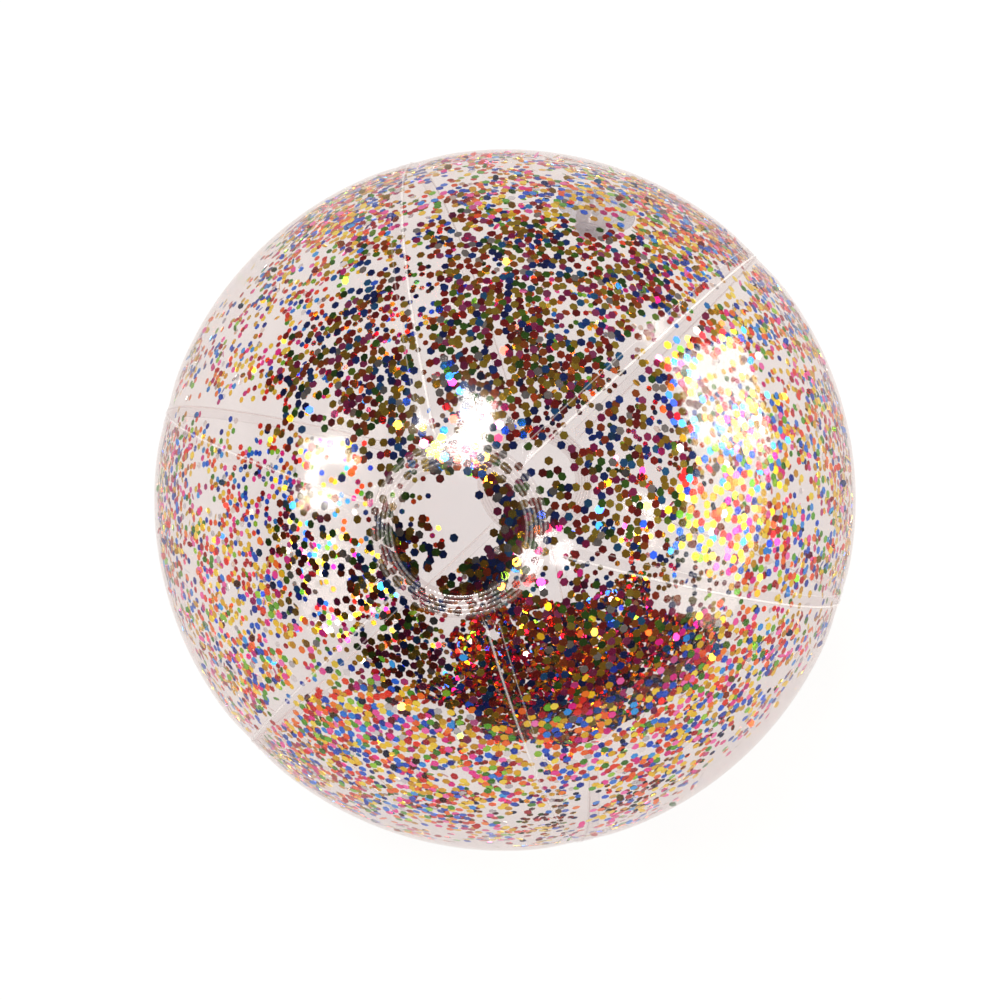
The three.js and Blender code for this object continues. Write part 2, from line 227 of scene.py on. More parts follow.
class Value:
    """A socket in a node tree. Arithmetic on it adds Math nodes."""

    def __init__(self, nodes, socket):
        self.nodes = nodes
        self.socket = socket

    def math(self, operation, first, second):
        return self.nodes.add("ShaderNodeMath", {0: first, 1: second}, operation=operation)

    def __add__(self, other):
        return self.math("ADD", self, other)

    __radd__ = __add__

    def __mul__(self, other):
        return self.math("MULTIPLY", self, other)

    __rmul__ = __mul__

    def __truediv__(self, other):
        return self.math("DIVIDE", self, other)

    def __pow__(self, other):
        return self.math("POWER", self, other)


class Nodes:
    """Adds nodes to the tree of one material or world."""

    def __init__(self, owner):
        owner.use_nodes = True
        self.tree = owner.node_tree
        self.tree.nodes.clear()

    def add(self, kind, inputs=None, output=0, **settings):
        """Adds a node, sets it up, links or fills its inputs and returns one of its outputs."""
        node = self.tree.nodes.new(kind)
        for name, value in settings.items():
            if name == "stops":
                self.set_stops(node.color_ramp, value)
            elif name == "interpolation":
                node.color_ramp.interpolation = value
            else:
                setattr(node, name, value)
        for name, value in (inputs or {}).items():
            if isinstance(value, Value):
                self.tree.links.new(value.socket, node.inputs[name])
            else:
                node.inputs[name].default_value = value
        return Value(self, node.outputs[output]) if node.outputs else None

    @staticmethod
    def set_stops(ramp, stops):
        while len(ramp.elements) < len(stops):
            ramp.elements.new(1.0)
        for element, (position, colour) in zip(ramp.elements, stops):
            element.position = position
            element.color = (*colour, 1.0)


def new_material(name):
    """A material with an empty node tree, and what adds nodes to it."""
    material = bpy.data.materials.new(name)
    return material, Nodes(material)


def mix_colours(nodes, factor, first, second, blend_type="MIX"):
    """Mixes two colours through the colour sockets of a Mix node."""
    first_socket, second_socket, result_socket = 6, 7, 2
    inputs = {"Factor": factor, first_socket: first, second_socket: second}
    return nodes.add("ShaderNodeMix", inputs, result_socket, data_type="RGBA", blend_type=blend_type)


def ramp(nodes, factor, stops, interpolation="LINEAR"):
    """Runs a factor through a ramp of colours."""
    return nodes.add("ShaderNodeValToRGB", {"Fac": factor}, stops=stops, interpolation=interpolation)


def object_noise(nodes, scale, detail):
    """Noise that stays with its piece."""
    place = nodes.add("ShaderNodeTexCoord", output="Object")
    return nodes.add("ShaderNodeTexNoise", {"Vector": place, "Scale": scale, "Detail": detail})


def see_through(nodes, slant, tint, slant_tint):
    """Lets light through, in one tint straight on and in another at a slant."""
    straight = nodes.add("ShaderNodeBsdfTransparent", {"Color": (*tint, 1.0)})
    slanted = nodes.add("ShaderNodeBsdfTransparent", {"Color": (*slant_tint, 1.0)})
    return nodes.add("ShaderNodeMixShader", {0: slant, 1: straight, 2: slanted})


def clear_vinyl(name, tint, slant_tint, shine):
    """Clear film: see-through, darker at a slant, glossy, and milky where it is welded."""
    material, nodes = new_material(name)
    weld = nodes.add("ShaderNodeAttribute", output="Fac", attribute_name="weld")
    haze = object_noise(nodes, 38.0, 3.0)
    ripple = object_noise(nodes, 90.0, 1.0)
    facing = nodes.add("ShaderNodeLayerWeight", {"Blend": 0.5}, "Facing")
    bump = nodes.add("ShaderNodeBump", {"Height": ripple, "Strength": 0.12, "Distance": 0.0008})
    gloss = shine * (0.02 + 0.3 * facing**6.0)
    milk = 0.4 * weld + 0.002 * haze
    cover = gloss + milk
    body = nodes.add(
        "ShaderNodeBsdfPrincipled",
        {
            "Base Color": (0.96, 0.94, 0.945, 1.0),
            "Metallic": gloss / cover,
            "Roughness": 0.08 + 0.06 * haze + 0.2 * weld,
            "Normal": bump,
        },
    )
    see = see_through(nodes, facing**0.5, tint, slant_tint)
    film = nodes.add("ShaderNodeMixShader", {0: cover, 1: see, 2: body})
    nodes.add("ShaderNodeOutputMaterial", {"Surface": film})
    return material


def valve_vinyl(name, cloudiness):
    """Soft moulded vinyl: cloudy, glossy, and darker at a slant, where more of it is in the way."""
    material, nodes = new_material(name)
    cloud = object_noise(nodes, 260.0, 3.0)
    facing = nodes.add("ShaderNodeLayerWeight", {"Blend": 0.5}, "Facing")
    bump = nodes.add("ShaderNodeBump", {"Height": cloud, "Strength": 0.1, "Distance": 0.0004})
    tint = ramp(nodes, cloud, ((0.3, (0.86, 0.86, 0.88)), (0.7, (0.95, 0.94, 0.95))))
    gloss = 0.03 + 0.3 * facing**4.0
    cover = gloss + cloudiness * (0.6 + 0.8 * facing**2.0 + 0.5 * cloud)
    body = nodes.add(
        "ShaderNodeBsdfPrincipled",
        {"Base Color": tint, "Metallic": gloss / cover, "Roughness": 0.1 + 0.12 * cloud, "Normal": bump},
    )
    glow = nodes.add("ShaderNodeBsdfTranslucent", {"Color": (0.93, 0.92, 0.93, 1.0)})
    soft = nodes.add("ShaderNodeMixShader", {0: 0.4, 1: body, 2: glow})
    see = see_through(nodes, facing**1.5, (0.97, 0.97, 0.975), (0.55, 0.57, 0.63))
    vinyl = nodes.add("ShaderNodeMixShader", {0: cover, 1: see, 2: soft})
    nodes.add("ShaderNodeOutputMaterial", {"Surface": vinyl})
    return material


def foil(name, stops, interpolation="LINEAR"):
    """Metallised foil. Each flake takes its own shade, with a fine rolled grain."""
    material, nodes = new_material(name)
    tone = nodes.add("ShaderNodeAttribute", output="Fac", attribute_name="tone")
    grain = object_noise(nodes, 900.0, 2.0)
    colour = ramp(nodes, tone, stops, interpolation)
    inputs = {"Base Color": colour, "Metallic": 1.0, "Roughness": 0.05 + 0.07 * grain}
    body = nodes.add("ShaderNodeBsdfPrincipled", inputs)
    nodes.add("ShaderNodeOutputMaterial", {"Surface": body})
    return material


def white_paper(stage):
    """The floor: plain white to look at, and matt enough to keep the ball's shadow."""
    material, nodes = new_material("white_paper")
    material.cycles.emission_sampling = "NONE"
    seen = nodes.add("ShaderNodeLightPath", output="Is Camera Ray")
    seen += nodes.add("ShaderNodeLightPath", output="Is Glossy Ray")
    seen += nodes.add("ShaderNodeLightPath", output="Is Transmission Ray")
    fibre = object_noise(nodes, 400.0, 2.0)
    matt = nodes.add(
        "ShaderNodeBsdfPrincipled",
        {"Base Color": (*stage.floor, 1.0), "Roughness": 0.8 + 0.1 * fibre, "Specular IOR Level": 0.1},
    )
    white = nodes.add("ShaderNodeEmission", {"Color": (1.0, 1.0, 1.0, 1.0), "Strength": 1.0})
    place = nodes.add("ShaderNodeTexCoord", output="Object")
    far = nodes.add("ShaderNodeVectorMath", {0: place}, "Value", operation="LENGTH")
    fade = ramp(nodes, far / stage.floor_size, ((0.05, (0.85, 0.85, 0.85)), (0.3, (1.0, 1.0, 1.0))))
    paper = nodes.add("ShaderNodeMixShader", {0: fade * seen, 1: matt, 2: white})
    nodes.add("ShaderNodeOutputMaterial", {"Surface": paper})
    return material


def ball_to_floor(ball):
    """From the ball's own frame, with its front pole up +Z, to the row frame."""
    turn = Matrix.Rotation(math.pi / 2 - ball.pole_elevation, 4, "X")
    return Matrix.Translation((0, 0, CENTRE_HEIGHT)) @ turn


def valve_to_floor(ball):
    """From the valve's own frame, with +Z out of the ball, to the row frame."""
    return Matrix.Translation((0, ball.radius, CENTRE_HEIGHT)) @ Matrix.Rotation(-math.pi / 2, 4, "X")


def sphere_point(radius, polar, azimuth):
    """A point of a sphere, by its angle from the front pole and its azimuth."""
    ring = radius * math.sin(polar)
    return Vector((ring * math.cos(azimuth), ring * math.sin(azimuth), radius * math.cos(polar)))


def ease(low, high, value):
    """Runs smoothly from 0 at the low limit to 1 at the high one."""
    share = min(max((value - low) / (high - low), 0.0), 1.0)
    return share * share * (3 - 2 * share)


def polar_of(point):
    """Angle of a point from the front pole."""
    return math.acos(max(-1.0, min(1.0, point.z / point.length)))


def seam_distance(ball, point):
    """Distance along the film from a point to the nearest seam."""
    step = math.tau / len(PANEL_NODES)
    azimuth = (math.atan2(point.y, point.x) - ball.seam_azimuth) % step
    return min(azimuth, step - azimuth) * math.hypot(point.x, point.y)


# Over what distance the seams' relief grows from nothing at a cap's edge
CAP_MARGIN = 0.004

# Film beside a seam: reach of the groove and of the puckers, and the two waves that make the puckers
GROOVE_REACH = 0.009
PUCKER_REACH = 0.006
SHORT_WAVE = 0.0026
LONG_WAVE = 0.0041
LONG_WAVE_SHARE = 0.7
LONG_WAVE_START = 1.3


def clear_of_caps(ball, point):
    """0 under the end caps, growing to 1 clear of them."""
    from_pole = ball.radius * min(polar_of(point), math.pi - polar_of(point))
    return ease(ball.cap_radius, ball.cap_radius + CAP_MARGIN, from_pole)


def film_lift(ball, point):
    """How far the film stands off a true sphere: a groove and small puckers at each seam."""
    aside = seam_distance(ball, point)
    along = ball.radius * polar_of(point)
    groove = -ball.groove * math.exp(-((aside / GROOVE_REACH) ** 2))
    short = math.sin(along / SHORT_WAVE)
    long = math.sin(along / LONG_WAVE + LONG_WAVE_START)
    pucker = ball.pucker * (short + LONG_WAVE_SHARE * long) * math.exp(-aside / PUCKER_REACH)
    return clear_of_caps(ball, point) * (groove + pucker)


def make_piece(bm, name, material, body, nodes, crease=None):
    """Turns a finished bmesh into a named piece that rides on a body."""
    mesh = bpy.data.meshes.new(name)
    bm.to_mesh(mesh)
    bm.free()
    mesh.materials.append(material)
    if crease is not None:
        mesh.shade_smooth()
        mesh.set_sharp_from_angle(angle=math.radians(crease))
    piece = bpy.data.objects.new(name, mesh)
    bpy.context.scene.collection.objects.link(piece)
    if body:
        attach(piece, body)
    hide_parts(*nodes)
    return piece


def among(made, kind):
    """The vertices, edges or faces among what a bmesh operator made."""
    return [item for item in made if isinstance(item, kind)]


def thicken(bm, thickness):
    """Gives a bmesh's faces a thickness."""
    bm.normal_update()
    bmesh.ops.solidify(bm, geom=bm.faces[:], thickness=thickness)


# Vertices nearer than this are one
MERGE = 1e-7


def turn_once(bm, steps):
    """Turns all that a bmesh holds once about Z."""
    bmesh.ops.spin(
        bm,
        geom=bm.verts[:] + bm.edges[:],
        cent=(0, 0, 0),
        axis=(0, 0, 1),
        angle=math.tau,
        steps=steps,
        use_merge=True,
    )
    bmesh.ops.remove_doubles(bm, verts=bm.verts[:], dist=MERGE)
    bmesh.ops.recalc_face_normals(bm, faces=bm.faces[:])


def turn_profile(bm, points, steps):
    """Joins points of (radius, height) in an empty bmesh and turns them once about Z."""
    verts = [bm.verts.new((radius, 0, height)) for radius, height in points]
    for pair in zip(verts, verts[1:]):
        bm.edges.new(pair)
    turn_once(bm, steps)


# Steps of the film's mesh from pole to pole and across a panel, and the angle left open before the next seam
POLE_STEPS = 150
PANEL_STEPS = 36
SEAM_SLIT = 0.0004


def sweep_gore(bm, ball, panel):
    """Sweeps a meridian across one panel and returns the edges of its lapped side."""
    span = math.tau / len(PANEL_NODES)
    start = ball.seam_azimuth + panel * span
    tip = math.asin(ball.cap_opening / ball.radius)
    arc = math.pi - 2 * tip
    turn = span - SEAM_SLIT
    across = Vector((-math.sin(start), math.cos(start), 0))
    seed = bm.verts.new(sphere_point(ball.radius, tip, start))
    bmesh.ops.spin(bm, geom=[seed], cent=(0, 0, 0), axis=across, angle=arc, steps=POLE_STEPS)
    meridian = bm.verts[:] + bm.edges[:]
    swept = bmesh.ops.spin(bm, geom=meridian, cent=(0, 0, 0), axis=(0, 0, 1), angle=turn, steps=PANEL_STEPS)
    return among(swept["geom_last"], BMEdge)


# Section of a seam's lap: distance over the next panel, height, and how milky the weld is
LAP_SECTION = (
    (0.2, 0.34, 0.0),
    (0.4, 0.48, 0.45),
    (0.7, 0.54, 0.6),
    (1.0, 0.48, 0.45),
    (1.2, 0.36, 0.0),
    (3.2, 0.35, 0.0),
    (4.5, 0.35, 0.0),
    (4.7, 0.4, 0.25),
    (4.9, 0.4, 0.25),
    (5.1, 0.34, 0.0),
)


# Share of a lap's width that is left under a cap, and the material slot of the fused strips
LAP_UNDER_CAP = 0.05
FUSED_SLOT = 1


def add_lap(bm, ball, edge, weld):
    """Carries the lapped side over the next panel, with a bead on its weld."""
    before = (0.0, 0.0, 0.0)
    for reach, height, milk in LAP_SECTION:
        grown = bmesh.ops.extrude_edge_only(bm, edges=edge)["geom"]
        edge = among(grown, BMEdge)
        for face in among(grown, BMFace):
            face.material_index = FUSED_SLOT
        for vert in among(grown, BMVert):
            open_share = clear_of_caps(ball, vert.co)
            step = (reach - before[0]) * MM * max(open_share, LAP_UNDER_CAP)
            lift = (height - before[1]) * MM * open_share
            ring = math.hypot(vert.co.x, vert.co.y)
            vert.co = Matrix.Rotation(step / ring, 3, "Z") @ vert.co
            vert.co += vert.co.normalized() * lift
            vert[weld] = milk * open_share
        before = (reach, height, milk)


# Round the valve, as shares of the hole's radius: how far the mesh is refined, and its edge drawn to the hole
REFINED_REACH = 1.5
EDGE_REACH = 1.3


def cut_valve_hole(bm, ball, valve):
    """Opens a round hole in the film round the valve."""
    inward = valve_to_floor(ball).inverted()

    def from_axis(point):
        local = inward @ point
        return math.hypot(local.x, local.y) if local.z > -ball.radius else math.inf

    reach = REFINED_REACH * valve.hole
    near = [edge for edge in bm.edges if min(from_axis(vert.co) for vert in edge.verts) < reach]
    bmesh.ops.subdivide_edges(bm, edges=near, cuts=2, use_grid_fill=True)
    inside = [face for face in bm.faces if from_axis(face.calc_center_median()) < valve.hole]
    bmesh.ops.delete(bm, geom=inside, context="FACES")
    for vert in bm.verts:
        if vert.is_boundary and from_axis(vert.co) < EDGE_REACH * valve.hole:
            local = inward @ vert.co
            share = valve.hole / math.hypot(local.x, local.y)
            local.x *= share
            local.y *= share
            vert.co = valve_to_floor(ball) @ local


class BALL_OT_panels(bpy.types.Operator):
    """Builds the six lapped and welded film panels"""

    bl_idname = "ball.panels"
    bl_label = "Film panels"

    def execute(self, context):
        ball = context.scene.ball_sizes
        film = clear_vinyl(
            "clear_vinyl", tint=(0.955, 0.938, 0.936), slant_tint=(0.935, 0.908, 0.901), shine=1.0
        )
        fused = clear_vinyl(
            "fused_vinyl", tint=(0.995, 0.992, 0.992), slant_tint=(0.97, 0.96, 0.96), shine=0.3
        )
        for panel, node in enumerate(PANEL_NODES):
            bm = bmesh.new()
            weld = bm.verts.layers.float.new("weld")
            edge = sweep_gore(bm, ball, panel)
            add_lap(bm, ball, edge, weld)
            bmesh.ops.recalc_face_normals(bm, faces=bm.faces[:])
            for vert in bm.verts:
                vert.co += vert.co.normalized() * film_lift(ball, vert.co)
            bmesh.ops.transform(bm, matrix=ball_to_floor(ball), verts=bm.verts[:])
            if node == "panel_1":
                cut_valve_hole(bm, ball, context.scene.valve_sizes)
            for vert in bm.verts:
                vert.co.z = max(vert.co.z, 0.0)
            thicken(bm, ball.film)
            piece = make_piece(bm, f"film_{node}", film, "ball", [node], crease=50)
            piece.data.materials.append(fused)
        return {"FINISHED"}


class BALL_OT_end_caps(bpy.types.Operator):
    """Builds the two round end caps with their serrated weld ridges"""

    bl_idname = "ball.end_caps"
    bl_label = "End caps"

    ridges = 5
    teeth = 84
    tooth_steps = 4
    inner_steps = 10
    fine_steps = 44
    fine_width = 0.0085
    weld_inset = 0.0075
    weld_width = 0.007
    film_share = 0.8
    ridge_milk = 0.34
    edge_milk = 0.08
    notch_clear = 0.55
    notch_depth = 0.4

    def execute(self, context):
        ball = context.scene.ball_sizes
        material = bpy.data.materials["clear_vinyl"]
        for node, turn in (("end_cap_front", 0.0), ("end_cap_rear", math.pi)):
            bm = bmesh.new()
            weld = bm.verts.layers.float.new("weld")
            self.dome(bm, ball)
            for vert in bm.verts:
                self.press_weld(ball, vert, weld)
            bmesh.ops.rotate(bm, cent=(0, 0, 0), matrix=Matrix.Rotation(turn, 3, "X"), verts=bm.verts[:])
            bmesh.ops.transform(bm, matrix=ball_to_floor(ball), verts=bm.verts[:])
            thicken(bm, ball.film * self.film_share)
            make_piece(bm, f"film_{node}", material, "ball", [node], crease=50)
        return {"FINISHED"}

    def dome(self, bm, ball):
        """A patch of the sphere about the pole, finer where its weld is."""
        top = ball.radius + 2 * ball.film
        fine_start = (ball.cap_radius - self.fine_width) / top
        fine_arc = ball.cap_radius / top - fine_start
        seed = bm.verts.new((0, 0, top))
        inner = bmesh.ops.spin(
            bm, geom=[seed], cent=(0, 0, 0), axis=(0, 1, 0), angle=fine_start, steps=self.inner_steps
        )
        last = among(inner["geom_last"], BMVert)
        bmesh.ops.spin(bm, geom=last, cent=(0, 0, 0), axis=(0, 1, 0), angle=fine_arc, steps=self.fine_steps)
        turn_once(bm, self.tooth_steps * self.teeth)

    def press_weld(self, ball, vert, weld):
        """Raises the ridges, broken into teeth, and marks how milky they are."""
        ring = math.hypot(vert.co.x, vert.co.y)
        azimuth = math.atan2(vert.co.y, vert.co.x)
        share = (ring - (ball.cap_radius - self.weld_inset)) / self.weld_width
        if not 0.0 < share < 1.0:
            vert[weld] = self.edge_milk if share >= 1.0 else 0.0
            return
        ridge = math.sin(share * self.ridges * math.pi) ** 2
        row = int(share * self.ridges)
        notch = 0.5 - 0.5 * math.cos(self.teeth * azimuth + math.pi * row)
        vert[weld] = self.ridge_milk * ridge * (1 - self.notch_clear * notch)
        vert.co += vert.co.normalized() * ball.cap_ridge * ridge * (1 - self.notch_depth * notch)


def make_valve_piece(bm, ball, name, body, node, crease):
    """Sets what was made in the valve's own frame in its place, as a piece of valve vinyl."""
    bmesh.ops.transform(bm, matrix=valve_to_floor(ball), verts=bm.verts[:])
    return make_piece(bm, name, bpy.data.materials["valve_vinyl"], body, [node], crease)


# Sizes that the stem, the neck, the stopper and its strap share
RIM_RADIUS = 5.8 * MM
RIM_HEIGHT = 1.2 * MM
FOOT_RADIUS = 6.4 * MM
FOOT_HEIGHT = 0.8 * MM
ROUNDING = 0.2 * MM
STRAP_HALF_WIDTH = 2.0 * MM
STRAP_HALF_THICKNESS = 0.5 * MM
VALVE_STEPS = 64

# Section of the folded neck in millimetres, from the flange inwards, by radius and height, and the radii of
# its end at the stem's foot
NECK_SECTION = (
    (8.2, -1.0),
    (8.15, -2.0),
    (7.7, -3.0),
    (7.75, -4.6),
    (7.2, -5.6),
    (7.25, -7.2),
    (6.7, -8.2),
    (6.75, -9.8),
    (6.3, -10.7),
)
NECK_END = (6.0, 5.35)


class BALL_OT_valve_neck(bpy.types.Operator):
    """Builds the valve's welded flange and its folded neck"""

    bl_idname = "ball.valve_neck"
    bl_label = "Valve neck"

    opening = 0.0086
    edge = 0.017
    ridges = 3
    ridge_height = 0.00012
    flange_wall = 0.0008
    flange_steps = 28
    flange_turn_steps = 96
    neck_wall = 0.0005
    neck_foot = 1.4 * MM
    fold_start = 2.5 * MM

    def execute(self, context):
        ball = context.scene.ball_sizes
        valve = context.scene.valve_sizes
        valve_vinyl("valve_vinyl", cloudiness=0.34)
        self.flange(ball, valve_vinyl("flange_vinyl", cloudiness=0.08))
        self.neck(ball, valve)
        return {"FINISHED"}

    def flange(self, ball, material):
        """A curved ring under the film, with three weld ridges."""
        bm = bmesh.new()
        seat = ball.radius - ball.film - GAP
        centre = Vector((0, 0, -ball.radius))
        start = math.asin(self.opening / seat)
        arc = math.asin(self.edge / seat) - start
        seed = bm.verts.new(centre + sphere_point(seat, start, 0.0))
        bmesh.ops.spin(bm, geom=[seed], cent=centre, axis=(0, 1, 0), angle=arc, steps=self.flange_steps)
        turn_once(bm, self.flange_turn_steps)
        if sum(face.normal.z for face in bm.faces) < 0:
            bmesh.ops.reverse_faces(bm, faces=bm.faces[:])
        for vert in bm.verts:
            share = (math.hypot(vert.co.x, vert.co.y) - self.opening) / (self.edge - self.opening)
            vert.co.z -= self.ridge_height * math.sin(self.ridges * math.pi * share) ** 2
        thicken(bm, self.flange_wall)
        bmesh.ops.transform(bm, matrix=valve_to_floor(ball), verts=bm.verts[:])
        make_piece(bm, "weld_flange", material, "ball", ["valve_flange"], crease=40)

    def neck(self, ball, valve):
        """A thin neck, folded in on itself, from the flange's opening to the stem's foot."""
        bm = bmesh.new()
        foot = -valve.depth + self.neck_foot
        points = [(radius * MM, height * MM) for radius, height in NECK_SECTION]
        points += [(radius * MM, foot) for radius in NECK_END]
        turn_profile(bm, points, VALVE_STEPS)
        bmesh.ops.solidify(bm, geom=bm.faces[:], thickness=self.neck_wall)
        piece = make_valve_piece(bm, ball, "folding_neck", None, "valve_boot", crease=60)
        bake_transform(piece)


def add_bar(bm, low, high, bevel, segments=2):
    """A bar between two corners with rounded edges."""
    low, high = Vector(low), Vector(high)
    place = Matrix.Translation((low + high) / 2) @ Matrix.Diagonal((*(high - low), 1.0))
    made = bmesh.ops.create_cube(bm, size=1.0, matrix=place)["verts"]
    edges = list({edge for vert in made for edge in vert.link_edges})
    bmesh.ops.bevel(
        bm, geom=edges, offset=bevel, affect="EDGES", segments=segments, profile=0.5, material=-1
    )


class BALL_OT_valve_stem(bpy.types.Operator):
    """Builds the valve's stem with its rim, its foot and the arm that carries the strap"""

    bl_idname = "ball.valve_stem"
    bl_label = "Valve stem"

    lead_in = 0.3 * MM
    arm_overlap = 0.6 * MM
    arm_bevel = 0.25 * MM

    def execute(self, context):
        ball = context.scene.ball_sizes
        valve = context.scene.valve_sizes
        bm = bmesh.new()
        bottom, top = -valve.depth, valve.standoff
        foot_top = bottom + FOOT_HEIGHT
        rim_bottom = top - RIM_HEIGHT
        points = (
            (valve.bore, bottom + ROUNDING),
            (valve.bore + ROUNDING, bottom),
            (FOOT_RADIUS - ROUNDING, bottom),
            (FOOT_RADIUS, bottom + ROUNDING),
            (FOOT_RADIUS, foot_top - ROUNDING),
            (FOOT_RADIUS - ROUNDING, foot_top),
            (valve.stem + ROUNDING, foot_top),
            (valve.stem, foot_top + ROUNDING),
            (valve.stem, rim_bottom - ROUNDING),
            (valve.stem + ROUNDING, rim_bottom),
            (RIM_RADIUS - ROUNDING, rim_bottom),
            (RIM_RADIUS, rim_bottom + ROUNDING),
            (RIM_RADIUS, top - ROUNDING),
            (RIM_RADIUS - ROUNDING, top),
            (valve.bore + self.lead_in, top),
            (valve.bore, top - self.lead_in),
            (valve.bore, bottom + ROUNDING),
        )
        turn_profile(bm, points, VALVE_STEPS)
        add_bar(
            bm,
            (-STRAP_HALF_WIDTH, valve.stem - self.arm_overlap, top - 2 * STRAP_HALF_THICKNESS),
            (STRAP_HALF_WIDTH, valve.reach + STRAP_HALF_THICKNESS, top),
            self.arm_bevel,
        )
        make_valve_piece(bm, ball, "stem_tube", "valve_stem", "valve_stem", crease=30)
        return {"FINISHED"}


# Sections of the stopper in millimetres: its shank, by radius beside the widest place, and its head, by
# radius. Both go on with the height over the seat on the stem's rim.
SHANK_SECTION = ((-1.1, -4.6), (-0.8, -4.3), (0.0, -0.1), (0.1, 0.0))
HEAD_SECTION = (
    (5.6, 0.0),
    (5.8, 0.2),
    (5.8, 1.1),
    (5.65, 1.4),
    (5.3, 1.6),
    (4.3, 1.6),
    (4.0, 1.35),
    (0.0, 1.25),
)


class BALL_OT_stopper(bpy.types.Operator):
    """Builds the stopper with its thumb tab, and its strap"""

    bl_idname = "ball.stopper"
    bl_label = "Stopper and strap"

    tab_half_width = 2.5 * MM
    tab_far = -8.8 * MM
    tab_near = -5.0 * MM
    tab_thickness = 1.0 * MM
    tab_bevel = 0.3 * MM
    ribs = 3
    rib_half_width = 1.9 * MM
    rib_start = -8.3 * MM
    rib_step = 0.9 * MM
    rib_width = 0.45 * MM
    rib_bottom = 0.9 * MM
    rib_top = 1.2 * MM
    rib_bevel = 0.1 * MM
    strap_start = 5.5 * MM
    strap_bevel = 0.2 * MM
    fold_steps = 24
    fold_inset = 0.1 * MM
    fold_dome = 0.05 * MM

    def execute(self, context):
        ball = context.scene.ball_sizes
        valve = context.scene.valve_sizes
        seat = valve.standoff + GAP
        self.plug(ball, valve, seat)
        self.strap(ball, valve, seat)
        return {"FINISHED"}

    def plug(self, ball, valve, seat):
        """A tapered shank under a dished head, with a ribbed tab for the thumb."""
        bm = bmesh.new()
        wide = valve.bore - GAP
        points = [(0.0, seat + SHANK_SECTION[0][1] * MM)]
        points += [(wide + aside * MM, seat + height * MM) for aside, height in SHANK_SECTION]
        points += [(radius * MM, seat + height * MM) for radius, height in HEAD_SECTION]
        turn_profile(bm, points, VALVE_STEPS)
        add_bar(
            bm,
            (-self.tab_half_width, self.tab_far, seat),
            (self.tab_half_width, self.tab_near, seat + self.tab_thickness),
            self.tab_bevel,
        )
        for rib in range(self.ribs):
            far = self.rib_start + rib * self.rib_step
            add_bar(
                bm,
                (-self.rib_half_width, far, seat + self.rib_bottom),
                (self.rib_half_width, far + self.rib_width, seat + self.rib_top),
                self.rib_bevel,
            )
        make_valve_piece(bm, ball, "stopper", "plug", "valve_plug", crease=30)

    def strap(self, ball, valve, seat):
        """A flat strap that ends in a rolled fold over the stem's arm."""
        bm = bmesh.new()
        half = STRAP_HALF_THICKNESS
        middle = seat + half
        turn = Matrix.Translation((0, valve.reach, middle)) @ Matrix.Rotation(math.pi / 2, 4, "Y")
        bmesh.ops.create_cone(
            bm,
            cap_ends=True,
            cap_tris=False,
            segments=self.fold_steps,
            radius1=half,
            radius2=half,
            depth=2 * STRAP_HALF_WIDTH,
            matrix=turn,
        )
        ends = [face for face in bm.faces if len(face.verts) > 4]
        bmesh.ops.inset_region(bm, faces=ends, thickness=self.fold_inset, depth=self.fold_dome)
        add_bar(
            bm,
            (-STRAP_HALF_WIDTH, self.strap_start, middle - half),
            (STRAP_HALF_WIDTH, valve.reach, middle + half),
            self.strap_bevel,
        )
        make_valve_piece(bm, ball, "stopper_strap", "plug", "plug_strap", crease=40)


class BALL_OT_flap(bpy.types.Operator):
    """Builds the non-return flap under the stem's bore"""

    bl_idname = "ball.flap"
    bl_label = "Non-return flap"

    overlap = 1.0 * MM
    thickness = 0.6 * MM
    rounding = 0.1 * MM
    lower_rounding = 0.15 * MM
    dish = 0.12 * MM
    dish_slope = 0.2 * MM
    dish_radius = 2.0 * MM
    hinge_half_width = 1.5 * MM
    hinge_reach = 0.8 * MM
    hinge_near = -2.6 * MM
    hinge_bevel = 0.12 * MM
    steps = 48

    def execute(self, context):
        ball = context.scene.ball_sizes
        valve = context.scene.valve_sizes
        bm = bmesh.new()
        top = -valve.depth - GAP
        bottom = top - self.thickness
        radius = valve.bore + self.overlap
        points = (
            (0.0, bottom),
            (radius - self.lower_rounding, bottom),
            (radius, bottom + self.lower_rounding),
            (radius, top - self.rounding),
            (radius - self.rounding, top),
            (self.dish_radius + self.dish_slope, top),
            (self.dish_radius, top - self.dish),
            (0.0, top - self.dish),
        )
        turn_profile(bm, points, self.steps)
        add_bar(
            bm,
            (-self.hinge_half_width, -radius - self.hinge_reach, bottom),
            (self.hinge_half_width, self.hinge_near, top),
            self.hinge_bevel,
        )
        make_valve_piece(bm, ball, "breath_flap", "check_flap", "check_flap", crease=30)
        return {"FINISHED"}


def random_direction(rng):
    """A direction drawn evenly over the sphere."""
    height = rng.uniform(-1.0, 1.0)
    turn = rng.uniform(0.0, math.tau)
    ring = math.sqrt(1 - height * height)
    return Vector((ring * math.cos(turn), ring * math.sin(turn), height))


# Density of flakes at the front, what the sides add to it and what the rear takes off, and between which
# angles from the front pole each of the two sets in
FRONT_DENSITY = 0.15
SIDE_DENSITY = 0.11
REAR_DENSITY = 0.12
SIDE_ANGLES = (0.75, 1.25)
REAR_ANGLES = (1.8, 2.5)

# Clumps: two scales of noise, and how much of the density is left between clumps and added in them
COARSE_CLUMPS = 9.0
FINE_CLUMPS = 21.0
FINE_SHARE = 0.6
CLUMP_LIMIT = 0.4
CLUMP_LEAST = 0.12
CLUMP_GAIN = 1.1

# Over which distances flakes thin out towards a seam and towards the valve
SEAM_CLEARING = (0.001, 0.009)
VALVE_CLEARING = (0.0185, 0.0205)


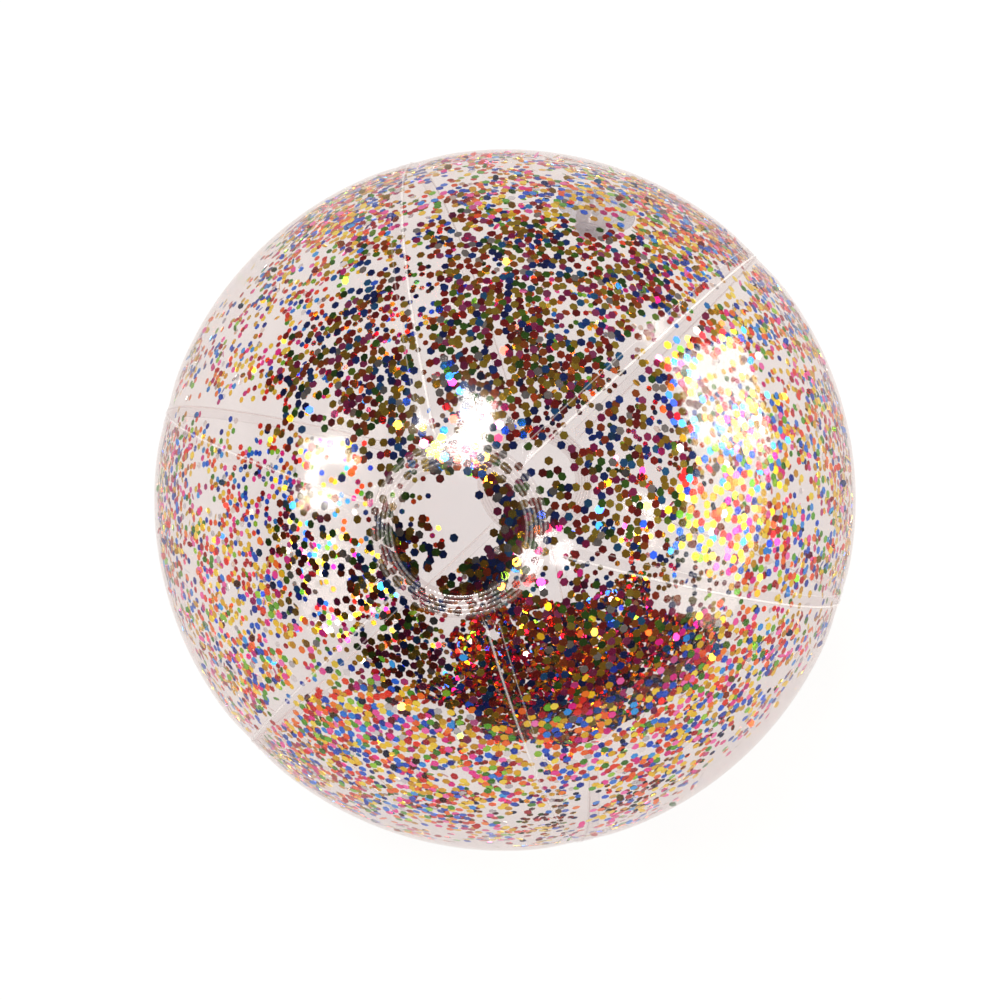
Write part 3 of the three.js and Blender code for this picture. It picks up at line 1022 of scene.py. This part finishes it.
def gathering(ball, direction, centres, valve_way):
    """How readily a flake clings at a direction from the ball's middle."""
    polar = polar_of(direction)
    sides = SIDE_DENSITY * ease(*SIDE_ANGLES, polar)
    rear = REAR_DENSITY * ease(*REAR_ANGLES, polar)
    density = FRONT_DENSITY + sides - rear
    for centre, spread, weight in centres:
        density += weight * math.exp(-((direction.angle(centre) / spread) ** 2))
    clump = noise.noise(direction * COARSE_CLUMPS) + FINE_SHARE * noise.noise(direction * FINE_CLUMPS)
    density *= CLUMP_LEAST + CLUMP_GAIN * ease(-CLUMP_LIMIT, CLUMP_LIMIT, clump)
    point = direction * ball.radius
    off_seam = ease(*SEAM_CLEARING, seam_distance(ball, point))
    off_valve = ease(*VALVE_CLEARING, ball.radius * point.angle(valve_way))
    return density * off_valve * max(off_seam, 1.0 - clear_of_caps(ball, point))


# How far flakes lean from lying flat, and the share of clinging flakes that hang loose
CLING_LEAN = math.radians(2.5)
LOOSE_LEAN = math.radians(15)
LOOSE_SHARE = 0.18
PILE_LEAN = math.radians(2)
DRIFT_LEAN = math.radians(11)

# How deep flakes lie: clinging ones under the film and their spread, piled ones under the ball's radius,
# settled ones under the film and the drift's height on top of that
CLING_DEPTH = 0.0009
CLING_SPREAD = 0.0004
PILE_DEPTHS = (0.0013, 0.0024)
DRIFT_DEPTH = 0.0012
DRIFT_HEIGHT = 0.0022


def flake_place(rng, point, outward, lean):
    """Lays a flake flat on the film at a point, turned at random and leaning a little."""
    lie = outward.to_track_quat("Z", "Y").to_matrix().to_4x4()
    tilt = Euler((rng.gauss(0, lean), rng.gauss(0, lean), rng.uniform(0, math.tau)))
    return Matrix.Translation(point) @ lie @ tilt.to_matrix().to_4x4()


def flake_outline(glitter):
    """Corners of one hexagonal flake."""
    bm = bmesh.new()
    made = bmesh.ops.create_circle(bm, radius=glitter.width / math.sqrt(3), segments=6)
    corners = [vert.co.copy() for vert in made["verts"]]
    bm.free()
    return corners


def lay_flakes(ball, glitter, rng, places):
    """Lays a flake at each place in the ball. Its shade is drawn right after its place."""
    bm = bmesh.new()
    layer = bm.verts.layers.float.new("tone")
    to_floor = ball_to_floor(ball)
    corners = flake_outline(glitter)
    for place in places:
        on_floor = to_floor @ place
        verts = [bm.verts.new(on_floor @ corner) for corner in corners]
        tone = rng.random()
        for vert in verts:
            vert[layer] = tone
        bm.faces.new(verts)
    thicken(bm, glitter.thickness)
    return bm


class BALL_OT_glitter(bpy.types.Operator):
    """Scatters foil flakes over the inside of the film"""

    bl_idname = "ball.glitter"
    bl_label = "Clinging glitter"

    tries_per_flake = 80

    def execute(self, context):
        ball = context.scene.ball_sizes
        glitter = context.scene.glitter_sizes
        rng = random.Random(glitter.seed)
        points = self.scatter(ball, glitter, rng)
        piled = self.pile(ball, rng)
        leans = [LOOSE_LEAN if rng.random() < LOOSE_SHARE else CLING_LEAN for _ in points]
        leans += [PILE_LEAN] * len(piled)
        points += piled
        names = list(FOILS)
        shares = [FOILS[name][0] for name in names]
        chosen = rng.choices(names, shares, k=len(points))
        for name in names:
            places = (
                flake_place(rng, point, point.normalized(), lean)
                for point, lean, colour in zip(points, leans, chosen)
                if colour == name
            )
            bm = lay_flakes(ball, glitter, rng, places)
            nodes = [f"flake_{name}_{number}" for number in range(1, 8)]
            material = foil(f"{name}_foil", FOILS[name][1])
            make_piece(bm, f"glitter_{name}", material, "ball", nodes)
        return {"FINISHED"}

    def pile(self, ball, rng):
        """Points of the small piles, a few flakes deep."""
        points = []
        for polar, azimuth, spread, number in PILES:
            middle = sphere_point(1.0, math.radians(polar), math.radians(azimuth))
            for _ in range(number):
                wander = Vector([rng.gauss(0, math.radians(spread)) for _ in range(3)])
                depth = rng.uniform(*PILE_DEPTHS)
                points.append((middle + wander).normalized() * (ball.radius - depth))
        return points

    def scatter(self, ball, glitter, rng):
        """Points inside the film, gathered in clusters and clear of each other."""
        centres = [
            (sphere_point(1.0, math.radians(polar), math.radians(azimuth)), math.radians(spread), weight)
            for polar, azimuth, spread, weight in CLUSTERS
        ]
        valve_way = ball_to_floor(ball).inverted().to_3x3() @ Vector((0, 1, 0))
        seat = ball.radius - ball.film - CLING_DEPTH
        cell = glitter.spacing
        taken = {}
        points = []
        for _ in range(self.tries_per_flake * glitter.count):
            if len(points) == glitter.count:
                return points
            direction = random_direction(rng)
            if rng.random() > gathering(ball, direction, centres, valve_way):
                continue
            lift = film_lift(ball, direction * ball.radius)
            point = direction * (seat + lift - rng.uniform(0.0, CLING_SPREAD))
            key = tuple(math.floor(axis / cell) for axis in point)
            around = [
                other
                for x in (-1, 0, 1)
                for y in (-1, 0, 1)
                for z in (-1, 0, 1)
                for other in taken.get((key[0] + x, key[1] + y, key[2] + z), ())
            ]
            if all((point - other).length > cell for other in around):
                taken.setdefault(key, []).append(point)
                points.append(point)
        raise RuntimeError("there is no room for that many flakes")


class BALL_OT_drift(bpy.types.Operator):
    """Piles the settled drift of flakes at the bottom of the ball"""

    bl_idname = "ball.drift"
    bl_label = "Settled drift"

    crowding = 0.6
    raggedness = 0.3
    # Painted shade: the share of each colour channel that the drift's flakes keep, darker and warmer because
    # flakes in a drift shade and mirror each other
    tint = (1.0, 0.7, 0.6)

    def execute(self, context):
        ball = context.scene.ball_sizes
        glitter = context.scene.glitter_sizes
        rng = random.Random(glitter.seed + 1)
        bm = lay_flakes(ball, glitter, rng, self.settle(ball, glitter, rng))
        material = foil("mixed_foil", self.mixed_stops(), "CONSTANT")
        make_piece(bm, "glitter_drift", material, "ball", ["glitter_heap"])
        return {"FINISHED"}

    def settle(self, ball, glitter, rng):
        """Places of the settled flakes, one by one, deepest in the drift's middle."""
        middle = sphere_point(1.0, glitter.drift_polar, glitter.drift_azimuth)
        lie = middle.to_track_quat("Z", "Y").to_matrix()
        seat = ball.radius - ball.film - DRIFT_DEPTH
        for _ in range(glitter.drift_count):
            ring = rng.random() ** self.crowding
            turn = rng.uniform(0, math.tau)
            edge = Vector((2 * math.cos(turn), 2 * math.sin(turn), 0.5))
            ragged = 1.0 + self.raggedness * noise.noise(edge)
            aside = glitter.drift_length * ring * ragged * math.cos(turn)
            along = glitter.drift_width * ring * ragged * math.sin(turn)
            down = math.sqrt(seat**2 - aside**2 - along**2)
            depth = DRIFT_HEIGHT * (1 - ring) * rng.random()
            outward = lie @ Vector((aside, along, down)).normalized()
            yield flake_place(rng, outward * (seat - depth), outward, DRIFT_LEAN)

    def mixed_stops(self):
        """The two darker shades of each foil colour, one after the other along the ramp, with painted shade:
        darker and warmer, as flakes in a drift shade and mirror each other.
        """
        stops = []
        position = 0.0
        for share, shades in FOILS.values():
            for shade in (shades[0], shades[1]):
                painted_shade_colour = tuple(share_kept * part for share_kept, part in zip(self.tint, shade[1]))
                stops.append((position, painted_shade_colour))
                position += share / 2
        return tuple(stops)


def aim(thing, azimuth, elevation, distance):
    """Puts a camera or lamp round the ball's middle, looking at it."""
    away = sphere_point(1.0, math.pi / 2 - elevation, azimuth - math.pi / 2)
    thing.location = Vector((0, 0, CENTRE_HEIGHT)) + away * distance
    thing.rotation_euler = away.to_track_quat("Z", "Y").to_euler()


# Soft lamps: azimuth, elevation, distance, width, height, watts and colour
LAMPS = {
    "ceiling_lamp": (-93, 77.5, 1.6, 0.5, 0.42, 20.0, (1.0, 0.98, 0.95)),
    "left_lamp": (-72, 35, 1.8, 0.35, 0.5, 12.0, (1.0, 0.93, 0.80)),
    "right_window": (129, 19, 2.0, 1.0, 1.1, 34.0, (1.0, 0.98, 0.88)),
    "right_wall": (96, 18, 2.0, 1.6, 1.0, 21.0, (1.0, 0.95, 0.82)),
    "front_lamp": (33, 53, 1.8, 0.2, 0.16, 4.0, (1.0, 0.98, 0.96)),
}


# The studio's brightness from front to back, what its right side adds, and how far up its pale foot goes
ROOM_STOPS = (
    (0.0, (0.036, 0.034, 0.033)),
    (0.35, (0.066, 0.063, 0.06)),
    (0.5, (0.12, 0.115, 0.11)),
    (0.97, (0.24, 0.23, 0.22)),
)
SIDE_STOPS = ((0.1, (0.0, 0.0, 0.0)), (0.7, (0.13, 0.12, 0.105)))
FOOT_STOPS = ((0.0, (1.0, 1.0, 1.0)), (0.02, (0.6, 0.6, 0.6)), (0.1, (0.0, 0.0, 0.0)))


class BALL_OT_stage(bpy.types.Operator):
    """Sets the camera, the pale floor and the soft studio light"""

    bl_idname = "ball.stage"
    bl_label = "Stage"

    see_through_bounces = 32
    sideways_shift = -0.005
    floor_height = -0.0002

    def execute(self, context):
        stage = context.scene.stage_settings
        context.scene.view_settings.view_transform = "Standard"
        context.scene.cycles.transparent_max_bounces = self.see_through_bounces
        self.camera(context.scene, stage)
        self.floor(context.scene, stage)
        self.light(context.scene)
        self.surround(context.scene)
        return {"FINISHED"}

    def camera(self, scene, stage):
        data = bpy.data.cameras.new("camera")
        data.lens = stage.lens
        data.shift_x = self.sideways_shift
        camera = bpy.data.objects.new("camera", data)
        aim(camera, stage.azimuth, stage.elevation, stage.distance)
        scene.collection.objects.link(camera)
        scene.camera = camera

    def floor(self, scene, stage):
        bm = bmesh.new()
        bmesh.ops.create_grid(bm, x_segments=1, y_segments=1, size=stage.floor_size)
        mesh = bpy.data.meshes.new("floor")
        bm.to_mesh(mesh)
        bm.free()
        mesh.materials.append(white_paper(stage))
        floor = bpy.data.objects.new("floor", mesh)
        scene.collection.objects.link(floor)
        floor.location.z = self.floor_height

    def light(self, scene):
        for name, (azimuth, elevation, distance, width, height, watts, colour) in LAMPS.items():
            data = bpy.data.lights.new(name, "AREA")
            data.shape = "RECTANGLE"
            data.size = width
            data.size_y = height
            data.energy = watts
            data.color = colour
            lamp = bpy.data.objects.new(name, data)
            aim(lamp, math.radians(azimuth), math.radians(elevation), distance)
            scene.collection.objects.link(lamp)

    def surround(self, scene):
        """A dim studio for foil to mirror, with a pale foot. It is white to look at."""
        world = bpy.data.worlds.new("studio")
        scene.world = world
        nodes = Nodes(world)
        way = nodes.add("ShaderNodeTexCoord", output="Generated")
        right, back, height = (nodes.add("ShaderNodeSeparateXYZ", {0: way}, axis) for axis in "XYZ")
        room = ramp(nodes, 0.5 + 0.5 * back, ROOM_STOPS)
        side = ramp(nodes, right, SIDE_STOPS)
        room = mix_colours(nodes, 1.0, room, side, "ADD")
        low = ramp(nodes, height, FOOT_STOPS)
        wall = mix_colours(nodes, low, room, (0.95, 0.95, 0.95, 1.0))
        seen = nodes.add("ShaderNodeLightPath", output="Is Camera Ray")
        seen += nodes.add("ShaderNodeLightPath", output="Is Transmission Ray")
        backdrop = mix_colours(nodes, seen, wall, (1.0, 1.0, 1.0, 1.0))
        glow = nodes.add("ShaderNodeBackground", {"Color": backdrop, "Strength": 1.0})
        nodes.add("ShaderNodeOutputWorld", {"Surface": glow})


class BALL_PT_build(bpy.types.Panel):
    """Lists the steps that build the ball"""

    bl_label = "Beach ball"
    bl_idname = "BALL_PT_build"
    bl_space_type = "VIEW_3D"
    bl_region_type = "UI"
    bl_category = "Beach ball"

    def draw(self, context):
        for operator in OPERATORS:
            self.layout.operator(operator.bl_idname)
        for group in GROUPS:
            settings = getattr(context.scene, group)
            box = self.layout.box()
            for name in settings.__annotations__:
                box.prop(settings, name)


GROUPS = {
    "ball_sizes": BallSizes,
    "valve_sizes": ValveSizes,
    "glitter_sizes": GlitterSizes,
    "stage_settings": StageSettings,
}
OPERATORS = (
    BALL_OT_panels,
    BALL_OT_end_caps,
    BALL_OT_valve_neck,
    BALL_OT_valve_stem,
    BALL_OT_stopper,
    BALL_OT_flap,
    BALL_OT_glitter,
    BALL_OT_drift,
    BALL_OT_stage,
)


def register():
    for cls in (*GROUPS.values(), *OPERATORS, BALL_PT_build):
        bpy.utils.register_class(cls)
    for name, group in GROUPS.items():
        setattr(bpy.types.Scene, name, bpy.props.PointerProperty(type=group))


def unregister():
    for name in GROUPS:
        delattr(bpy.types.Scene, name)
    for cls in (BALL_PT_build, *reversed(OPERATORS), *reversed(GROUPS.values())):
        bpy.utils.unregister_class(cls)


def main():
    register()
    bpy.ops.ball.panels()
    bpy.ops.ball.end_caps()
    bpy.ops.ball.valve_neck()
    bpy.ops.ball.valve_stem()
    bpy.ops.ball.stopper()
    bpy.ops.ball.flap()
    bpy.ops.ball.glitter()
    bpy.ops.ball.drift()
    bpy.ops.ball.stage()


if __name__ == "__main__":
    main()
